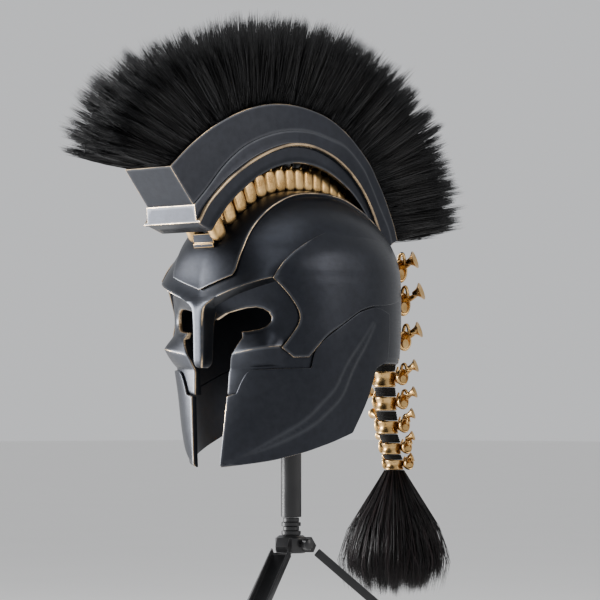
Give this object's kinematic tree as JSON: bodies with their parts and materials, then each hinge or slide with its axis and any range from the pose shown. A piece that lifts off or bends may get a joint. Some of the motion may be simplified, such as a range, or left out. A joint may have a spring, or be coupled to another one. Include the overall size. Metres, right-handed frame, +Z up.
{
  "type": "greek helmet on a stand",
  "caption": "Closed-face helmet with nose guard, cheek guards, tall crest box with a bristle plume, bone-like spine and tassel, on a plain three-legged stand.",
  "frame": {"origin": "centre of the footprint of the whole object, on the floor", "axes": "+Z up, the wearer faces -Y, the wearer's left side is +X"},
  "size_m": [0.4092, 0.5638, 0.767],
  "materials": {
    "shell": "satin blue-black gunmetal, gold rubbed through on the edges",
    "plate": "satin blue-black gunmetal, gold rubbed through on the edges",
    "gold": "satin antique gold, darker in the hollows",
    "hair": "black bristle hair with lighter tips",
    "cord": "black woven cord",
    "stand": "semi-gloss black",
    "rubber": "matte black rubber"
  },
  "bodies": {
    "root": {"skull_shell": "shell", "crown_band": "plate", "temple_plate_left": "plate", "cheek_guard_left": "plate", "temple_plate_right": "plate", "cheek_guard_right": "plate", "crest_box": "shell", "spine_bracket": "shell", "crest_plume": "hair", "arch_vertebra_01": "gold", "arch_vertebra_02": "gold", "arch_vertebra_03": "gold", "arch_vertebra_04": "gold", "arch_vertebra_05": "gold", "arch_vertebra_06": "gold", "arch_vertebra_07": "gold", "arch_vertebra_08": "gold", "arch_vertebra_09": "gold", "arch_vertebra_10": "gold", "arch_vertebra_11": "gold", "arch_vertebra_12": "gold", "arch_vertebra_13": "gold", "arch_vertebra_14": "gold", "arch_vertebra_15": "gold", "arch_vertebra_16": "gold", "tail_vertebra_1": "gold", "tail_vertebra_2": "gold", "tail_vertebra_3": "gold", "tail_vertebra_4": "gold", "tail_vertebra_5": "gold", "tail_vertebra_6": "gold", "tail_vertebra_7": "gold", "tail_vertebra_8": "gold", "tail_disc_1": "cord", "tail_disc_2": "cord", "tail_disc_3": "cord", "tail_disc_4": "cord", "tail_disc_5": "cord", "tail_disc_6": "cord", "tail_disc_7": "cord", "tassel": "hair", "stand_post": "stand", "stand_collar": "stand", "stand_hub": "stand", "stand_knob": "stand", "stand_leg_1": "stand", "stand_foot_1": "rubber", "stand_leg_2": "stand", "stand_foot_2": "rubber", "stand_leg_3": "stand", "stand_foot_3": "rubber"}
  },
  "joints": []
}
